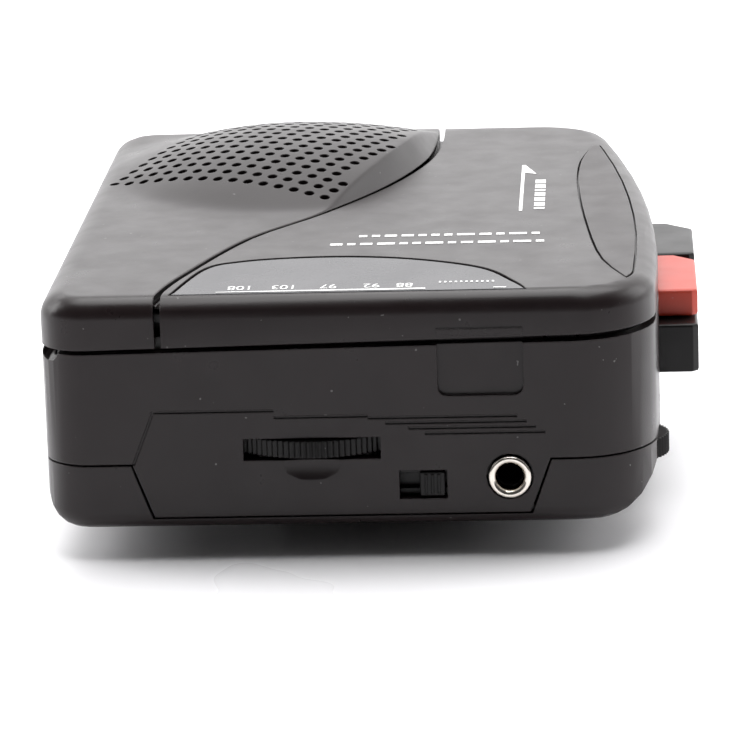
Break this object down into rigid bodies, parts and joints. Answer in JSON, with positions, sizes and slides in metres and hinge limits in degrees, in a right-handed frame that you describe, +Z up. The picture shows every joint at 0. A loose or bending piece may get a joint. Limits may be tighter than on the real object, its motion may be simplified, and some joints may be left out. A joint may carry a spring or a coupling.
{
  "type": "cassette player",
  "caption": "Pocket radio cassette recorder with a hinged cassette door, speaker dome, side keys, tuning and volume wheels, phones jack and a sprung belt clip.",
  "frame": {"origin": "middle of the bounding box at the level the belt clip rests on", "axes": "+Z up out of the cassette door, +X towards the keys, +Y away from the end with the phones jack"},
  "size_m": [0.0936, 0.1162, 0.044],
  "materials": {
    "charcoal_housing": "satin charcoal, fine spark texture",
    "black_plastic": "satin black",
    "smoked_lens": "smooth smoked acrylic",
    "grip_inlay": "smooth satin",
    "red_plastic": "semi-gloss red",
    "bright_nickel": "polished nickel",
    "steel": "zinc plated",
    "brass": "turned brass",
    "belt_rubber": "matt rubber",
    "board": "green solder mask",
    "white_plastic": "natural acetal",
    "cone_paper": "black paper"
  },
  "bodies": {
    "housing": {"front_housing": "charcoal_housing", "rear_housing": "charcoal_housing", "hinge_pin_near": "steel", "hinge_pin_far": "steel", "circuit_board": "board", "tuning_capacitor": "white_plastic", "pointer_rail": "steel", "volume_pot": "steel", "switch_body": "black_plastic", "phones_jack": "black_plastic", "jack_ring": "bright_nickel", "microphone": "steel", "deck_plate": "steel", "motor": "steel", "drive_belt": "belt_rubber", "spring_bracket": "steel", "clip_pin": "steel", "battery_spring_left": "bright_nickel", "battery_spring_right": "bright_nickel", "contact_strip": "bright_nickel", "case_screw_1": "steel", "case_screw_2": "steel", "case_screw_3": "steel", "case_screw_4": "steel", "record_spring": "steel", "stop_spring": "steel", "play_spring": "steel", "fast_forward_spring": "steel", "rewind_spring": "steel"},
    "battery_door": {"battery_door": "charcoal_housing"},
    "cassette_door": {"speaker_cover": "charcoal_housing", "door_panel": "charcoal_housing", "dial_lens": "smoked_lens", "side_inlay": "grip_inlay", "door_frame": "black_plastic", "door_latch": "black_plastic", "speaker_frame": "steel", "speaker_cone": "cone_paper"},
    "tuning_wheel": {"tuning_wheel": "black_plastic"},
    "tuning_pointer": {"tuning_pointer": "red_plastic"},
    "volume_wheel": {"volume_wheel": "black_plastic"},
    "switch_knob": {"switch_knob": "black_plastic"},
    "motor_pulley": {"motor_pulley": "brass"},
    "flywheel": {"flywheel": "brass", "capstan": "steel"},
    "idler_wheel": {"idler_wheel": "belt_rubber"},
    "supply_spindle": {"supply_spindle": "white_plastic"},
    "take_up_spindle": {"take_up_spindle": "white_plastic"},
    "head_carriage": {"head_carriage": "steel", "record_play_head": "bright_nickel", "erase_head": "black_plastic"},
    "pinch_arm": {"pinch_arm": "steel"},
    "pinch_roller": {"pinch_roller": "belt_rubber"},
    "record_key": {"record_key": "red_plastic"},
    "stop_key": {"stop_key": "black_plastic"},
    "play_key": {"play_key": "black_plastic"},
    "fast_forward_key": {"fast_forward_key": "black_plastic"},
    "rewind_key": {"rewind_key": "black_plastic"},
    "belt_clip": {"belt_clip": "black_plastic"}
  },
  "joints": [
    {"name": "door_hinge", "type": "hinge", "parent": "housing", "child": "cassette_door", "pos_m": [-0.04555, 0.0006, 0.0308], "axis": [0, -1, 0], "range_deg": [0, 65]},
    {"name": "battery_door_slide", "type": "slide", "parent": "housing", "child": "battery_door", "axis": [0, 1, 0], "range_m": [0, 0.058]},
    {"name": "tuning_turn", "type": "hinge", "parent": "housing", "child": "tuning_wheel", "pos_m": [-0.00845, -0.0431, 0.0164], "axis": [0, 0, 1], "range_deg": [0, 180]},
    {"name": "pointer_slide", "type": "slide", "parent": "housing", "child": "tuning_pointer", "axis": [1, 0, 0], "range_m": [0, 0.0401]},
    {"name": "volume_turn", "type": "hinge", "parent": "housing", "child": "volume_wheel", "pos_m": [0.03565, -0.0419, 0.0124], "axis": [0, 0, 1], "range_deg": [0, 270]},
    {"name": "switch_slide", "type": "slide", "parent": "housing", "child": "switch_knob", "axis": [-1, 0, 0], "range_m": [0, 0.0026]},
    {"name": "flywheel_spin", "type": "hinge", "parent": "housing", "child": "flywheel", "pos_m": [0.01565, 0.0356, 0.0095], "axis": [0, 0, 1], "continuous": true},
    {"name": "motor_spin", "type": "hinge", "parent": "housing", "child": "motor_pulley", "pos_m": [0.00415, 0.0031, 0.0095], "axis": [0, 0, 1], "continuous": true},
    {"name": "idler_spin", "type": "hinge", "parent": "housing", "child": "idler_wheel", "pos_m": [0.00364, 0.0299, 0.0228], "axis": [0, 0, 1], "continuous": true},
    {"name": "take_up_spin", "type": "hinge", "parent": "housing", "child": "take_up_spindle", "pos_m": [-0.01335, 0.02185, 0.0245], "axis": [0, 0, 1], "continuous": true},
    {"name": "supply_spin", "type": "hinge", "parent": "housing", "child": "supply_spindle", "pos_m": [-0.01335, -0.02065, 0.0245], "axis": [0, 0, 1], "continuous": true},
    {"name": "carriage_slide", "type": "slide", "parent": "housing", "child": "head_carriage", "axis": [-1, 0, 0], "range_m": [0, 0.0036]},
    {"name": "pinch_swing", "type": "hinge", "parent": "housing", "child": "pinch_arm", "pos_m": [0.02915, 0.0471, 0.0228], "axis": [0, 0, -1], "range_deg": [0, 24.1]},
    {"name": "pinch_spin", "type": "hinge", "parent": "pinch_arm", "child": "pinch_roller", "pos_m": [0.02665, 0.0351, 0.0285], "axis": [0, 0, 1], "continuous": true},
    {"name": "record_press", "type": "slide", "parent": "housing", "child": "record_key", "axis": [-1, 0, 0], "range_m": [0, 0.0035], "stiffness_N_per_m": 300, "springref_m": -0.002, "deforming": ["record_spring"]},
    {"name": "stop_press", "type": "slide", "parent": "housing", "child": "stop_key", "axis": [-1, 0, 0], "range_m": [0, 0.0035], "stiffness_N_per_m": 300, "springref_m": -0.002, "deforming": ["stop_spring"]},
    {"name": "play_press", "type": "slide", "parent": "housing", "child": "play_key", "axis": [-1, 0, 0], "range_m": [0, 0.0035], "stiffness_N_per_m": 300, "springref_m": -0.002, "deforming": ["play_spring"]},
    {"name": "fast_forward_press", "type": "slide", "parent": "housing", "child": "fast_forward_key", "axis": [-1, 0, 0], "range_m": [0, 0.0035], "stiffness_N_per_m": 300, "springref_m": -0.002, "deforming": ["fast_forward_spring"]},
    {"name": "rewind_press", "type": "slide", "parent": "housing", "child": "rewind_key", "axis": [-1, 0, 0], "range_m": [0, 0.0035], "stiffness_N_per_m": 300, "springref_m": -0.002, "deforming": ["rewind_spring"]},
    {"name": "clip_swing", "type": "hinge", "parent": "housing", "child": "belt_clip", "pos_m": [-0.00085, 0.0131, 0.00265], "axis": [1, 0, 0], "range_deg": [0, 8], "stiffness_Nm_per_rad": 0.3, "springref_deg": -20.05}
  ],
  "couplings": [
    {"joint": "pointer_slide", "follows": "tuning_turn", "m_per_rad": 0.0127},
    {"joint": "motor_spin", "follows": "flywheel_spin", "ratio": 5.3333},
    {"joint": "idler_spin", "follows": "flywheel_spin", "ratio": -0.30008},
    {"joint": "take_up_spin", "follows": "flywheel_spin", "ratio": 0.35294},
    {"joint": "carriage_slide", "follows": "play_press", "ratio": 1},
    {"joint": "pinch_swing", "follows": "play_press", "rad_per_m": 119.6}
  ]
}
